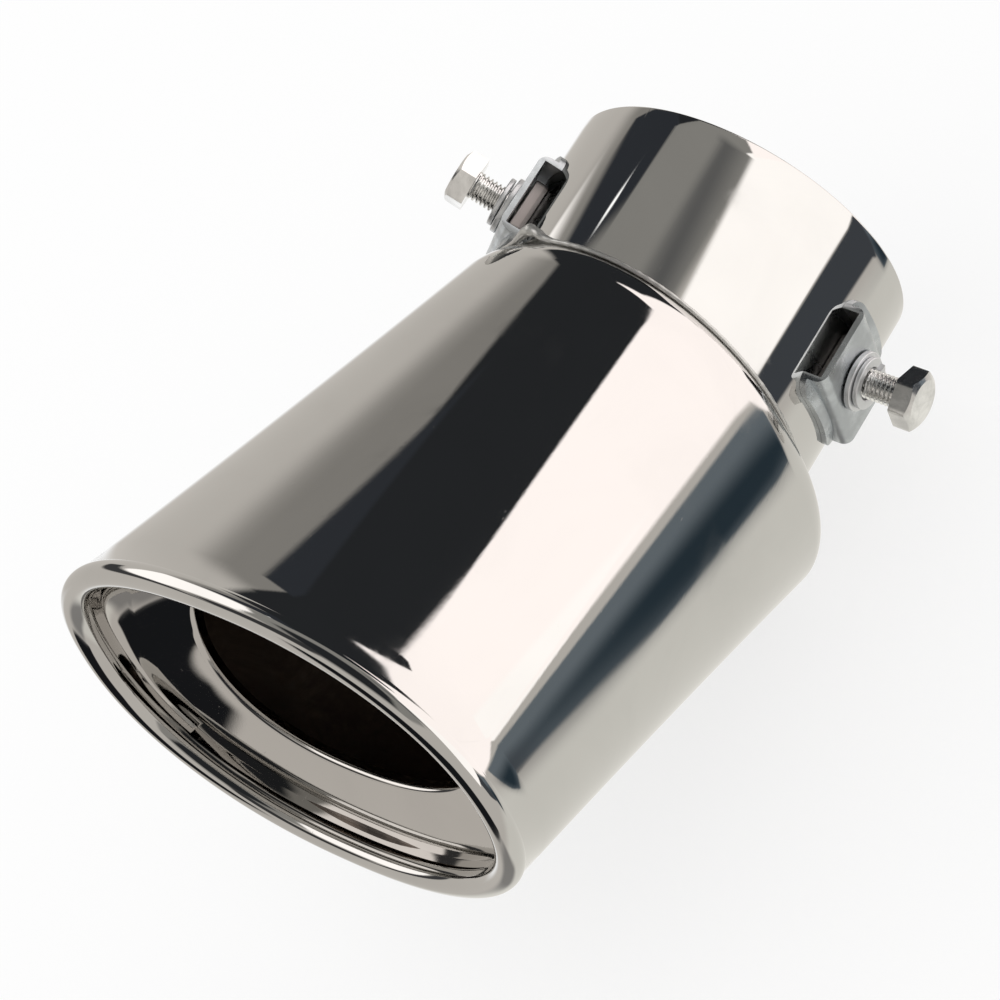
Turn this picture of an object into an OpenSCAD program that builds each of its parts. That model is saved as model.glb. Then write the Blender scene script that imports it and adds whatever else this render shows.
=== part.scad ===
// Bent exhaust tip: an oval polished shell with a rolled mouth, an inner funnel,
// a round inlet neck, and two pressed brackets that carry the clamp bolts.
// The origin is the centre of the inlet rim. +Y runs out of the inlet, +Z is up,
// and the neck and the shell both lie on the plane X = 0.

/* [Inlet neck] */
// Outer diameter of the neck tube
neck_od = 63; // [58:0.5:64]
// Wall thickness of the neck tube
neck_wall = 1.2; // [0.8:0.1:1.6]
// Length of the neck along its axis, from the rim to the mitre
neck_length = 35.2; // [31:0.2:60]
// How far the neck reaches in through the rear wall of the shell
neck_reach = 3; // [2.2:0.2:6]

/* [Bend] */
// Angle between the neck's axis and the shell's axis
bend_angle = 21.3; // [0:0.1:30]
// How far the centre of the shell's rear end lies below the neck's axis
rear_drop = 5.3; // [4:0.1:5.6]

/* [Outer shell] */
// Length of the shell along its axis
shell_length = 89.9; // [60:0.1:140]
// Sheet thickness of the shell
shell_wall = 1; // [0.8:0.1:1.2]
// Width of the rear end
rear_width = 70; // [69:0.5:86]
// Height of the rear end
rear_height = 76.2; // [76:0.2:90]
// Width of the mouth
mouth_width = 98.6; // [90:0.2:110]
// Height of the mouth
mouth_height = 59.2; // [54:0.2:70]
// Slant of the mouth, with the top lip further out
mouth_slant = 6.9; // [0:0.1:15]
// Squareness of the oval: 2 is an ellipse, more is squarer
oval_power = 2.2; // [2:0.05:2.5]
// Run of the rounded shoulder at the rear end
shoulder_run = 5; // [3:0.5:8]

/* [Rolled bead] */
// Outer radius of the bead rolled round the mouth
bead_radius = 2.3; // [1.9:0.1:2.8]
// How far the bead stands proud of the shell
bead_proud = 0.4; // [0.1:0.1:0.7]
// Angle at which the curl of the bead ends, counted from straight outwards
bead_curl_end = 230; // [190:5:240]

/* [Inner liner] */
// Sheet thickness of the liner
liner_wall = 0.8; // [0.6:0.1:1.2]
// Clearance between the liner's front edge and the curl of the bead
liner_gap = 0.2; // [0.1:0.05:0.4]
// Length of the straight land behind the bead
liner_land = 1.6; // [1:0.2:3]
// Depth of the groove behind the bead
liner_groove = 0.7; // [0.2:0.1:1.2]
// Width of the liner's opening
opening_width = 68.8; // [50:0.2:76]
// Height of the liner's opening
opening_height = 31.4; // [24:0.2:38]
// Depth of the opening's centre behind the mouth
opening_depth = 14; // [12:0.5:30]
// Tilt of the opening against the shell's cross-section
opening_tilt = 11.5; // [0:0.5:15]
// Height of the opening's centre above the shell's axis
opening_lift = 0.7; // [-2:0.1:2]
// Length of the straight collar round the opening
collar_length = 2; // [1:0.5:5]

/* [Clamp brackets] */
// Direction of the right clamp bolt round the neck, from +X towards +Z
right_clamp_angle = -14.9; // [-40:0.1:30]
// Direction of the left clamp bolt round the neck, from +X towards +Z
left_clamp_angle = 134.2; // [110:0.1:160]
// Distance of the bolts from the mitre, along the neck's axis
clamp_to_mitre = 15.9; // [15.8:0.1:20]
// Sheet thickness of the bracket
bracket_sheet = 1; // [0.8:0.1:1.4]
// Width of the bracket round the neck
bracket_width = 20; // [16:0.5:22]
// Length of the bracket along the neck, with its feet
bracket_length = 19; // [17.5:0.5:22]
// Length of the tunnel inside the bracket, along the neck
tunnel_length = 12.8; // [11:0.2:14]
// Radius of the bracket's outer bends
bend_radius = 1.8; // [1.2:0.1:2.4]
// Radius of the feet's corners
foot_corner = 3; // [1:0.5:4]
// Clearance between the bracket and the neck under it
bracket_gap = 0.03; // [0.02:0.01:0.1]

/* [Square nuts] */
// Side of the captive square nut
nut_side = 10; // [9:0.5:10.5]
// Thickness of the nut
nut_height = 2.5; // [2:0.1:3.5]
// Clearance round the nut in the neck's punched seat, and under the bracket
nut_gap = 0.2; // [0.1:0.05:0.4]
// Radius of the nut's upright corners
nut_corner = 0.8; // [0.3:0.1:1.5]

/* [Clamp bolts] */
// Thread diameter of the bolt
bolt_d = 5; // [4.5:0.5:6]
// Length of the bolt under its head
bolt_length = 11; // [10.5:0.5:12]
// Width of the hexagon head across its flats
head_flats = 9; // [8:0.5:10]
// Height of the hexagon head
head_height = 3.6; // [3:0.2:5]
// Gap between the lock washer and the right bolt's head, unscrewed as shown
right_backed_off = 5.8; // [3.5:0.1:6]
// Gap between the lock washer and the left bolt's head, unscrewed as shown
left_backed_off = 4.8; // [3.5:0.1:6]
// Radial clearance of the bolt in the nut
thread_gap = 0.05; // [0.03:0.01:0.1]
// Turn of the right bolt's head about its own axis
right_head_turn = 0; // [0:1:60]
// Turn of the left bolt's head about its own axis
left_head_turn = 50; // [0:1:60]

/* [Washers] */
// Outer diameter of the flat washer
flat_washer_od = 10.2; // [9.6:0.2:12]
// Thickness of the flat washer
flat_washer_t = 1; // [0.8:0.1:1.6]
// Outer diameter of the split lock washer
lock_washer_od = 8.8; // [8.4:0.2:10]
// Thickness of the split lock washer
lock_washer_t = 1.3; // [1:0.1:1.8]
// Width of the split in the lock washer
lock_split = 1; // [0.5:0.1:1.5]
// Radial clearance of the washers and the bracket's hole round the bolt
hole_gap = 0.3; // [0.2:0.05:0.5]
// Slack between the bracket and the loose flat washer
washer_slack = 0.25; // [0.1:0.05:0.4]

/* [Weld] */
// Radius of the weld bead between the neck and the shell
weld_radius = 0.5; // [0.3:0.1:0.8]
// Radius of the thick run where the weld was ended
weld_lump_radius = 1.6; // [0.8:0.1:1.8]
// Place of the thick run round the neck, from +X towards +Z
weld_lump_angle = 104; // [90:1:106]
// Spread of the thick run round the neck
weld_lump_spread = 6; // [3:0.5:7]
// Clearance of the weld and the shell's rear hole round the neck
weld_gap = 0.06; // [0.05:0.01:0.12]

/* [Hidden] */

// Points round the large rings, the weld and the small corners
$fn = 96;
around = 64;
weld_around = 72;
weld_sides = 6;
corner_fn = 32;

// Overshoot of the cutters, and the narrowest flat left at the neck's hole
cut_over = 1;
edge_land = 0.2;

neck_r = neck_od / 2;
bore_r = neck_r - neck_wall;
mitre = bend_angle / 2;

// The shell's own axes: back is from the mouth to the neck, up is square to it
axis_back = [0, cos(bend_angle), -sin(bend_angle)];
axis_up = [0, sin(bend_angle), cos(bend_angle)];
rear_centre = [0, -neck_length - tan(mitre) * rear_drop, -rear_drop];

// The clamps keep their place by the weld when the neck's length changes
clamp_setback = neck_length - clamp_to_mitre;

// Clamp stack, as radii from the neck's axis: the nut stays just outside the bore
nut_inset = 0.1;
nut_in = bore_r + nut_inset;
nut_out = nut_in + nut_height;
plate_in = nut_out + nut_gap;
plate_out = plate_in + bracket_sheet;
flat_in = plate_out + washer_slack;
lock_in = flat_in + flat_washer_t;
lock_out = lock_in + lock_washer_t;
bolt_r = bolt_d / 2;
tip_chamfer = 0.6;
head_chamfer_angle = 30;

// The funnel's curve, steep at the opening, and the share of its depth that the groove takes
funnel_power = 1.4;
groove_share = 1 / 3;

// Profile steps along the walls and round the curls
wall_steps = 4;
bead_steps = 13;
curl_steps = 8;
shoulder_steps = 5;
liner_steps = 7;

function lerp(a, b, f) = a + (b - a) * f;
function signed_pow(v, p) = sign(v) * pow(abs(v), p);

// Point of an oval with half width a and half height b, at angle t
function oval(a, b, t) =
    [a * signed_pow(cos(t), 2 / oval_power), b * signed_pow(sin(t), 2 / oval_power)];

// From the shell's own coordinates: x across, s back from the mouth, z up
function place(x, s, z) = rear_centre + [x, 0, 0] + (s - shell_length) * axis_back + z * axis_up;

// Point of the shell's wall at angle t, s back from the mouth, and off outside the nominal oval
function wall_point(t, s, off) =
    let (f = s / shell_length,
         a = lerp(mouth_width, rear_width, f) / 2 + off,
         b = lerp(mouth_height, rear_height, f) / 2 + off,
         p = oval(a, b, t),
         slope = lerp(-tan(mouth_slant), -tan(mitre), f))
    place(p[0], s + slope * p[1], p[1]);

// Point of the rolled bead, at radius r of its curl and angle q from straight outwards
function bead_point(t, r, q) =
    wall_point(t, bead_radius - r * sin(q), bead_proud - bead_radius + r * cos(q));

// Point where the mitre plane meets a tube of radius r on the neck's axis
function mitre_point(t, r) = [r * cos(t), -neck_length + tan(mitre) * r * sin(t), r * sin(t)];

// Rounded shoulder from a wall point to a point at the neck, run long and at most deep high
function shoulder_point(wall_at, corner, seat, deep, q) =
    let (gap = seat - corner, rise = min(deep, norm(gap) - edge_land))
    wall_at + (corner - wall_at) * sin(q) + gap / norm(gap) * rise * (1 - cos(q));

// Closed mesh of rings: points[i][k] with i round the object and k round the profile
module ring_mesh(points) {
    rings = len(points);
    count = len(points[0]);
    polyhedron(points = [for (ring = points, p = ring) p],
               faces = [for (i = [0:rings - 1], k = [0:count - 1])
                   let (j = (i + 1) % rings, m = (k + 1) % count)
                   each [[i * count + k, j * count + k, j * count + m],
                         [i * count + k, j * count + m, i * count + m]]]);
}

// Radial frame of a clamp: +X out along the bolt, +Y along the neck, origin at the bolt's station
module at_clamp(angle) {
    translate([0, -clamp_setback, 0]) rotate([0, -angle, 0]) children();
}

// Cylinder along the clamp's +X, from radius a to radius b
module clamp_rod(r, a, b) {
    translate([a, 0, 0]) rotate([0, 90, 0]) cylinder(r = r, h = b - a);
}

// Rectangle with round corners, centred
module round_rectangle(w, h, r) {
    square([w - 2 * r, h], center = true);
    square([w, h - 2 * r], center = true);
    for (x = [-1, 1], y = [-1, 1])
        translate([x * (w / 2 - r), y * (h / 2 - r)]) circle(r = r, $fn = corner_fn);
}

// One point of the shell's profile loop round the sheet, at angle t
function shell_ring(t) =
    let (outer_start = -acos((bead_radius - bead_proud) / bead_radius),
         curl_r = bead_radius - shell_wall,
         inner_start = -acos((curl_r - bead_proud) / curl_r),
         shoulder_at = shell_length - shoulder_run,
         outer_s = bead_radius - bead_radius * sin(outer_start),
         inner_s = bead_radius - curl_r * sin(inner_start),
         seat = mitre_point(t, neck_r + weld_gap),
         seat_in = seat - [0, shell_wall, 0])
    [each [for (k = [0:bead_steps])
         bead_point(t, bead_radius, lerp(bead_curl_end, outer_start, k / bead_steps))],
     each [for (k = [1:wall_steps])
         wall_point(t, lerp(outer_s, shoulder_at, k / wall_steps), 0)],
     each [for (k = [1:shoulder_steps])
         shoulder_point(wall_point(t, shoulder_at, 0), wall_point(t, shell_length, 0), seat,
                        shoulder_run, 90 * k / shoulder_steps)],
     seat,
     seat_in,
     each [for (k = [shoulder_steps:-1:1])
         shoulder_point(wall_point(t, shoulder_at, -shell_wall),
                        wall_point(t, shell_length - shell_wall, -shell_wall),
                        seat_in, shoulder_run - shell_wall, 90 * k / shoulder_steps)],
     each [for (k = [wall_steps:-1:1])
         wall_point(t, lerp(inner_s, shoulder_at, k / wall_steps), -shell_wall)],
     each [for (k = [0:curl_steps])
         bead_point(t, curl_r, lerp(inner_start, bead_curl_end, k / curl_steps))]];

module outer_shell() {
    color([0.78, 0.78, 0.77]) ring_mesh([for (i = [0:around - 1]) shell_ring(360 * i / around)]);
}

// Point of the liner: f runs from the front edge (0) to the opening (1), off is outside its inner face
function liner_point(t, f, off) =
    let (front_s = bead_radius - bead_radius * sin(bead_curl_end) + liner_gap + liner_land,
         front_off = bead_proud - 2 * bead_radius,
         inward = pow(f, funnel_power),
         groove = liner_groove * cos(90 * min(1, f / groove_share)),
         a = lerp(mouth_width / 2 + front_off, opening_width / 2, inward) + groove + off,
         b = lerp(mouth_height / 2 + front_off, opening_height / 2, inward) + groove + off,
         p = oval(a, b, t),
         slope = lerp(-tan(mouth_slant), tan(opening_tilt), f))
    place(p[0], lerp(front_s, opening_depth, f) + slope * p[1], p[1] + lerp(0, opening_lift, f));

// Point of the straight land at the liner's front edge, or of the collar round its opening
function liner_shift(t, f, off, shift) = liner_point(t, f, off) + shift * axis_back;

function liner_ring(t) =
    [liner_shift(t, 0, liner_wall, -liner_land),
     each [for (k = [0:liner_steps]) liner_point(t, k / liner_steps, liner_wall)],
     liner_shift(t, 1, liner_wall, collar_length),
     liner_shift(t, 1, 0, collar_length),
     each [for (k = [liner_steps:-1:0]) liner_point(t, k / liner_steps, 0)],
     liner_shift(t, 0, 0, -liner_land)];

module inner_liner() {
    color([0.62, 0.61, 0.6]) ring_mesh([for (i = [0:around - 1]) liner_ring(360 * i / around)]);
}

// Square seat punched in the neck's wall for the nut
module nut_seat() {
    side = nut_side + 2 * nut_gap;
    // Deep enough for the bore's wall at the seat's corners, which lies further in
    inner = bore_r - neck_wall - cut_over;
    translate([inner, -side / 2, -side / 2]) cube([neck_r + cut_over - inner, side, side]);
}

module inlet_neck() {
    // Far enough past the mitre for the lowest point of the cut
    tube_end = neck_length + neck_reach + neck_r * tan(mitre) + cut_over;
    cut_size = 3 * neck_od;
    color([0.76, 0.76, 0.76]) difference() {
        rotate([90, 0, 0]) cylinder(r = neck_r, h = tube_end);
        translate([0, cut_over, 0]) rotate([90, 0, 0]) cylinder(r = bore_r, h = tube_end + 2 * cut_over);
        translate([0, -neck_length - neck_reach, 0]) rotate([-mitre, 0, 0])
            translate([-cut_size / 2, -cut_size, -cut_size / 2]) cube(cut_size);
        for (angle = [right_clamp_angle, left_clamp_angle]) at_clamp(angle) nut_seat();
    }
}

// Radius of the weld bead at angle t, with the thick run at one place
function weld_r(t) = weld_radius
    + (weld_lump_radius - weld_radius) * exp(-pow((t - weld_lump_angle) / weld_lump_spread, 2));

// The weld rests in the corner between the neck and the rear wall
function weld_ring(t) =
    let (r = weld_r(t), out = [cos(t), 0, sin(t)],
         seat = mitre_point(t, neck_r + weld_gap + r) + [0, r + weld_gap, 0])
    [for (k = [0:weld_sides - 1])
        let (q = 360 * k / weld_sides) seat + r * (cos(q) * out + sin(q) * [0, 1, 0])];

module neck_weld() {
    color([0.6, 0.6, 0.58]) ring_mesh([for (i = [0:weld_around - 1]) weld_ring(360 * i / weld_around)]);
}

// Outline of the bridge across the neck, with round top bends, down to radius low
module bridge_outline(low) {
    half = tunnel_length / 2 + bracket_sheet;
    for (side = [-1, 1])
        translate([plate_out - bend_radius, side * (half - bend_radius)])
            circle(r = bend_radius, $fn = corner_fn);
    translate([low, -half]) square([plate_out - bend_radius - low, 2 * half]);
    translate([low, -half + bend_radius]) square([plate_out - low, 2 * (half - bend_radius)]);
}

module bracket(angle) {
    foot_r = neck_r + bracket_gap;
    low = neck_r * cos(asin(bracket_width / neck_od)) - cut_over;
    color([0.7, 0.73, 0.75]) at_clamp(angle) difference() {
        intersection() {
            union() {
                translate([0, 0, -bracket_width / 2]) linear_extrude(bracket_width) bridge_outline(low);
                rotate([90, 0, 0])
                    cylinder(r = foot_r + bracket_sheet, h = bracket_length, center = true);
            }
            translate([low, 0, 0]) rotate([0, 90, 0]) linear_extrude(neck_r)
                round_rectangle(bracket_width, bracket_length, foot_corner);
        }
        rotate([90, 0, 0]) cylinder(r = foot_r, h = 2 * bracket_length, center = true);
        translate([0, -tunnel_length / 2, -bracket_width]) cube([plate_in, tunnel_length, 2 * bracket_width]);
        clamp_rod(bolt_r + hole_gap, plate_in - cut_over, plate_out + cut_over);
    }
}

module square_nut(angle) {
    color([0.42, 0.38, 0.37]) at_clamp(angle) difference() {
        translate([nut_in, 0, 0]) rotate([0, 90, 0]) linear_extrude(nut_height)
            round_rectangle(nut_side, nut_side, nut_corner);
        clamp_rod(bolt_r + thread_gap, nut_in - cut_over, nut_out + cut_over);
    }
}

module flat_washer(angle) {
    color([0.75, 0.76, 0.77]) at_clamp(angle) difference() {
        clamp_rod(flat_washer_od / 2, flat_in, flat_in + flat_washer_t);
        clamp_rod(bolt_r + hole_gap, flat_in - cut_over, flat_in + flat_washer_t + cut_over);
    }
}

module lock_washer(angle) {
    color([0.68, 0.69, 0.7]) at_clamp(angle) difference() {
        clamp_rod(lock_washer_od / 2, lock_in, lock_out);
        clamp_rod(bolt_r + hole_gap, lock_in - cut_over, lock_out + cut_over);
        translate([lock_in - cut_over, bolt_r, -lock_split / 2])
            cube([lock_washer_t + 2 * cut_over, lock_washer_od, lock_split]);
    }
}

// Hexagon bolt: the head's outer face is turned to a chamfer, and so is the tip
module hex_bolt(angle, turn, backed_off) {
    head_in = lock_out + backed_off;
    head_r = head_flats / (2 * cos(30));
    face_r = head_flats / 2 - tip_chamfer;
    wide_r = head_r + cut_over;
    wide_height = head_height - (wide_r - face_r) * tan(head_chamfer_angle);
    shank = bolt_length + cut_over;
    color([0.8, 0.81, 0.82]) at_clamp(angle) rotate([turn, 0, 0]) {
        intersection() {
            translate([head_in, 0, 0]) rotate([0, 90, 0])
                cylinder(r = head_r, h = head_height, $fn = 6);
            translate([head_in, 0, 0]) rotate([0, 90, 0]) rotate_extrude()
                polygon([[0, 0], [wide_r, 0], [wide_r, wide_height],
                         [face_r, head_height], [0, head_height]]);
        }
        translate([head_in - bolt_length, 0, 0]) rotate([0, 90, 0]) rotate_extrude()
            polygon([[0, 0], [bolt_r - tip_chamfer, 0], [bolt_r, tip_chamfer],
                     [bolt_r, shank], [0, shank]]);
    }
}

module right_bracket() { bracket(right_clamp_angle); }
module right_square_nut() { square_nut(right_clamp_angle); }
module right_flat_washer() { flat_washer(right_clamp_angle); }
module right_lock_washer() { lock_washer(right_clamp_angle); }
module right_hex_bolt() { hex_bolt(right_clamp_angle, right_head_turn, right_backed_off); }
module left_bracket() { bracket(left_clamp_angle); }
module left_square_nut() { square_nut(left_clamp_angle); }
module left_flat_washer() { flat_washer(left_clamp_angle); }
module left_lock_washer() { lock_washer(left_clamp_angle); }
module left_hex_bolt() { hex_bolt(left_clamp_angle, left_head_turn, left_backed_off); }

outer_shell();
inner_liner();
inlet_neck();
neck_weld();
right_bracket();
right_square_nut();
right_flat_washer();
right_lock_washer();
right_hex_bolt();
left_bracket();
left_square_nut();
left_flat_washer();
left_lock_washer();
left_hex_bolt();
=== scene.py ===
"""Looks of the bent exhaust tip: its sheet metal, clamps, weld, finishes and studio.

Lengths in the classes are millimetres and angles are degrees, as on a drawing; a mesh is written
in metres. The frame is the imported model's: origin at the inlet rim, +Y out of the inlet, +Z up.
"""

from __future__ import annotations

import logging
from dataclasses import dataclass, field
from enum import Enum

import bmesh
import bpy
import numpy as np
from mathutils import Matrix


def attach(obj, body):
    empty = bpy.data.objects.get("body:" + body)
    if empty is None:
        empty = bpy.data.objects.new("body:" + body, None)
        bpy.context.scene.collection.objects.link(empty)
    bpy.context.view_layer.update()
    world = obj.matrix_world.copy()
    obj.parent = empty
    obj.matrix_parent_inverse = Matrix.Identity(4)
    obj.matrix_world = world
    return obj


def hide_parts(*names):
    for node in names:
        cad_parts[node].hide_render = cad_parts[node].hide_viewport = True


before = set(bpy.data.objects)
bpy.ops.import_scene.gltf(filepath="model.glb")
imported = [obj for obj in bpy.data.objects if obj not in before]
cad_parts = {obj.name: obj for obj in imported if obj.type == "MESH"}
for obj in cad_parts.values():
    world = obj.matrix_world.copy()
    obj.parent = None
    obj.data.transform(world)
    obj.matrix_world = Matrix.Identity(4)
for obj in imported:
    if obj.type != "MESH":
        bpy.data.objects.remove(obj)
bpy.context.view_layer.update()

LOG = logging.getLogger("exhaust_tip")
MM = 0.001
TIP_BODY = "tip"
MERGE_WITHIN = 1e-6
FLAT_WITHIN = 1.0

Array = np.ndarray


class Side(Enum):
    """The two clamps, by the side of the neck that they sit on."""

    RIGHT = "right"
    LEFT = "left"


CLAMP_ANGLE = {Side.RIGHT: -14.9, Side.LEFT: 134.2}
CLAMP_SETBACK = 19.3


def lerp(a: Array | float, b: Array | float, f: Array | float) -> Array | float:
    """Value a share f of the way from a to b."""
    return a + (b - a) * f


def cosd(angle: Array | float) -> Array | float:
    """Cosine of an angle in degrees."""
    return np.cos(np.radians(angle))


def sind(angle: Array | float) -> Array | float:
    """Sine of an angle in degrees."""
    return np.sin(np.radians(angle))


def unit_direction(azimuth: float, elevation: float) -> Array:
    """Unit vector towards an azimuth from +X towards +Y and an elevation above the floor."""
    return np.array([cosd(azimuth) * cosd(elevation), sind(azimuth) * cosd(elevation), sind(elevation)])


@dataclass
class Skin:
    """A mesh in the making: points in millimetres, four-sided faces and a finish number per face."""

    points: list[Array] = field(default_factory=list)
    quads: list[Array] = field(default_factory=list)
    finish: list[Array] = field(default_factory=list)
    count: int = 0

    def add_points(self, points: Array) -> int:
        """Append points.

        Args:
            points: array whose last axis is x, y, z.

        Returns:
            The number of the first point added.
        """
        flat = np.asarray(points, float).reshape(-1, 3)
        first = self.count
        self.points.append(flat)
        self.count += len(flat)
        return first

    def add_quads(self, quads: Array, finish: int | Array = 0) -> None:
        """Append faces.

        Args:
            quads: point numbers, four to a face.
            finish: material slot, one for all or one a face.
        """
        flat = np.asarray(quads, int).reshape(-1, 4)
        self.quads.append(flat)
        self.finish.append(np.broadcast_to(np.asarray(finish, int), (len(flat),)).copy())

    def grid(self, points: Array, close_rows: bool, close_columns: bool,
             finish: int | Array = 0, keep: Array | None = None) -> int:
        """Append a grid of points and the faces between its neighbours.

        Args:
            points: rows by columns by 3.
            close_rows: join the last row to the first.
            close_columns: join the last column to the first.
            finish: material slot, one for all or one a column.
            keep: rows by columns, false where a face is left out.

        Returns:
            The number of the first point of the grid.
        """
        rows, columns = points.shape[:2]
        first = self.add_points(points)
        i = np.arange(rows if close_rows else rows - 1)[:, None]
        k = np.arange(columns if close_columns else columns - 1)[None, :]
        j, m = (i + 1) % rows, (k + 1) % columns
        faces = np.stack([i * columns + k, i * columns + m, j * columns + m, j * columns + k], axis=-1)
        slots = np.broadcast_to(np.asarray(finish, int), faces.shape[:2])
        if keep is not None:
            shown = keep[: faces.shape[0], : faces.shape[1]]
            faces, slots = faces[shown], slots[shown]
        self.add_quads(first + faces.reshape(-1, 4), slots.reshape(-1))
        return first

    def fan(self, ring: Array, centre: Array, finish: int = 0) -> None:
        """Close a ring of point numbers with faces to one centre point.

        Args:
            ring: point numbers in order round the ring, an even number of them.
            centre: the centre point in millimetres.
            finish: material slot.
        """
        middle = self.add_points(centre)
        start = np.arange(0, len(ring), 2)
        a, b, c = ring[start], ring[(start + 1) % len(ring)], ring[(start + 2) % len(ring)]
        self.add_quads(np.stack([a, b, c, np.full_like(a, middle)], axis=-1), finish)

    def signed_volume(self, points: Array, quads: Array) -> float:
        """Volume inside the faces, negative where they point inwards."""
        a, b, c, d = (points[quads[:, n]] for n in range(4))
        return float(((a * np.cross(b, c)).sum() + (a * np.cross(c, d)).sum()) / 6)

    def make(self, name: str, materials: list[bpy.types.Material], sharp: float = 35.0) -> bpy.types.Object:
        """Write the mesh into the scene, with its faces turned outwards.

        Args:
            name: the piece's name.
            materials: one for each finish number.
            sharp: angle in degrees past which an edge is shaded sharp.

        Returns:
            The new object, at the origin.
        """
        points = np.concatenate(self.points)
        quads = np.concatenate(self.quads)
        slots = np.concatenate(self.finish)
        if self.signed_volume(points, quads) < 0:
            quads = quads[:, ::-1]
        mesh = bpy.data.meshes.new(name)
        mesh.vertices.add(len(points))
        mesh.vertices.foreach_set("co", (points * MM).astype(np.float32).ravel())
        mesh.loops.add(len(quads) * 4)
        mesh.loops.foreach_set("vertex_index", quads.astype(np.int32).ravel())
        mesh.polygons.add(len(quads))
        mesh.polygons.foreach_set("loop_start", np.arange(0, len(quads) * 4, 4, dtype=np.int32))
        for material in materials:
            mesh.materials.append(material)
        mesh.update(calc_edges=True)
        mesh.polygons.foreach_set("material_index", slots.astype(np.int32))
        mesh.polygons.foreach_set("use_smooth", np.ones(len(quads), bool))
        mesh.validate()
        mesh.set_sharp_from_angle(angle=float(np.radians(sharp)))
        piece = bpy.data.objects.new(name, mesh)
        bpy.context.scene.collection.objects.link(piece)
        return piece


def soften_edges(piece: bpy.types.Object, width: float, segments: int = 2, angle: float = 35.0) -> None:
    """Round a piece's sharp edges with a Bevel modifier.

    Args:
        piece: the object.
        width: width of the bevel in millimetres.
        segments: faces across the bevel.
        angle: only edges sharper than this many degrees are rounded.
    """
    bevel = piece.modifiers.new("edge_round", "BEVEL")
    bevel.width = width * MM
    bevel.segments = segments
    bevel.limit_method = "ANGLE"
    bevel.angle_limit = float(np.radians(angle))
    bevel.harden_normals = True


# Finishes


@dataclass
class NodeBoard:
    """A node tree being wired, with short calls for the nodes that the finishes use."""

    tree: bpy.types.NodeTree

    def add(self, kind: str, **inputs: object) -> bpy.types.Node:
        """Add a node.

        Args:
            kind: Blender's name of the node.
            inputs: values or sockets by input name, with _ for a space; props_NAME sets a property.

        Returns:
            The node.
        """
        node = self.tree.nodes.new(kind)
        for key, value in inputs.items():
            if key.startswith("props_"):
                setattr(node, key[6:], value)
        for key, value in inputs.items():
            if not key.startswith("props_"):
                self.put(node.inputs[key.replace("_", " ")], value)
        return node

    def put(self, socket: bpy.types.NodeSocket, value: object) -> None:
        """Link a socket to another, or set its value.

        Args:
            socket: the input.
            value: the output socket to link, or a plain value.
        """
        if isinstance(value, bpy.types.NodeSocket):
            self.tree.links.new(value, socket)
        else:
            socket.default_value = value

    def maths(self, operation: str, *values: object) -> bpy.types.NodeSocket:
        """Work out a sum, product or the like with a Math node.

        Args:
            operation: Blender's name of the operation.
            values: numbers or sockets.

        Returns:
            The result's socket.
        """
        node = self.tree.nodes.new("ShaderNodeMath")
        node.operation = operation
        for number, value in enumerate(values):
            self.put(node.inputs[number], value)
        return node.outputs[0]

    def noise(self, place: bpy.types.NodeSocket, scale: float, detail: float = 2.0,
              rough: float = 0.5, warp: float = 0.0) -> bpy.types.NodeSocket:
        """Value of a noise texture at a place.

        Args:
            place: the place's socket.
            scale: waves in a metre.
            detail: layers of finer noise.
            rough: weight of the finer layers.
            warp: how far the noise is bent.

        Returns:
            The value's socket, about 0.3 to 0.7.
        """
        node = self.add("ShaderNodeTexNoise", Vector=place, Scale=scale, Detail=detail,
                        Roughness=rough, Distortion=warp)
        return node.outputs["Fac"]

    def spread(self, value: object, low: float, high: float, at_low: float, at_high: float,
               smooth: bool = True) -> bpy.types.NodeSocket:
        """Value carried from the span low..high to at_low..at_high.

        Args:
            value: number or socket.
            low: start of the span.
            high: end of the span.
            at_low: result at the start.
            at_high: result at the end.
            smooth: ease both ends.

        Returns:
            The result's socket.
        """
        node = self.tree.nodes.new("ShaderNodeMapRange")
        node.interpolation_type = "SMOOTHSTEP" if smooth else "LINEAR"
        for number, entry in enumerate((value, low, high, at_low, at_high)):
            self.put(node.inputs[number], entry)
        return node.outputs[0]

    def blend(self, share: object, first: object, second: object) -> bpy.types.NodeSocket:
        """Colour mixed from first to second by share.

        Args:
            share: share of the second, number or socket.
            first: colour or socket.
            second: colour or socket.

        Returns:
            The colour's socket.
        """
        node = self.tree.nodes.new("ShaderNodeMix")
        node.data_type = "RGBA"
        self.put(node.inputs[0], share)
        self.put(node.inputs[6], first)
        self.put(node.inputs[7], second)
        return node.outputs[2]

    def stretch(self, place: bpy.types.NodeSocket, scale: tuple[float, float, float],
                turn: tuple[float, float, float] = (0.0, 0.0, 0.0)) -> bpy.types.NodeSocket:
        """Place turned and then scaled, for streaks along one way.

        Args:
            place: the place's socket.
            scale: scale along each axis.
            turn: turn about each axis in degrees.

        Returns:
            The new place's socket.
        """
        node = self.add("ShaderNodeMapping", Vector=place)
        node.inputs["Rotation"].default_value = tuple(np.radians(turn))
        node.inputs["Scale"].default_value = scale
        return node.outputs[0]

    def bump(self, height: bpy.types.NodeSocket, depth: float, strength: float = 1.0,
             under: bpy.types.NodeSocket | None = None) -> bpy.types.NodeSocket:
        """Normal bent by a height.

        Args:
            height: the height's socket.
            depth: metres that a height of 1 stands for.
            strength: share of the bend.
            under: another normal that this one is laid over.

        Returns:
            The normal's socket.
        """
        node = self.add("ShaderNodeBump", Height=height, Distance=depth, Strength=strength)
        if under is not None:
            self.put(node.inputs["Normal"], under)
        return node.outputs[0]


def rgba(colour: tuple[float, float, float]) -> tuple[float, float, float, float]:
    """Colour with full alpha."""
    return (*colour, 1.0)


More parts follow.
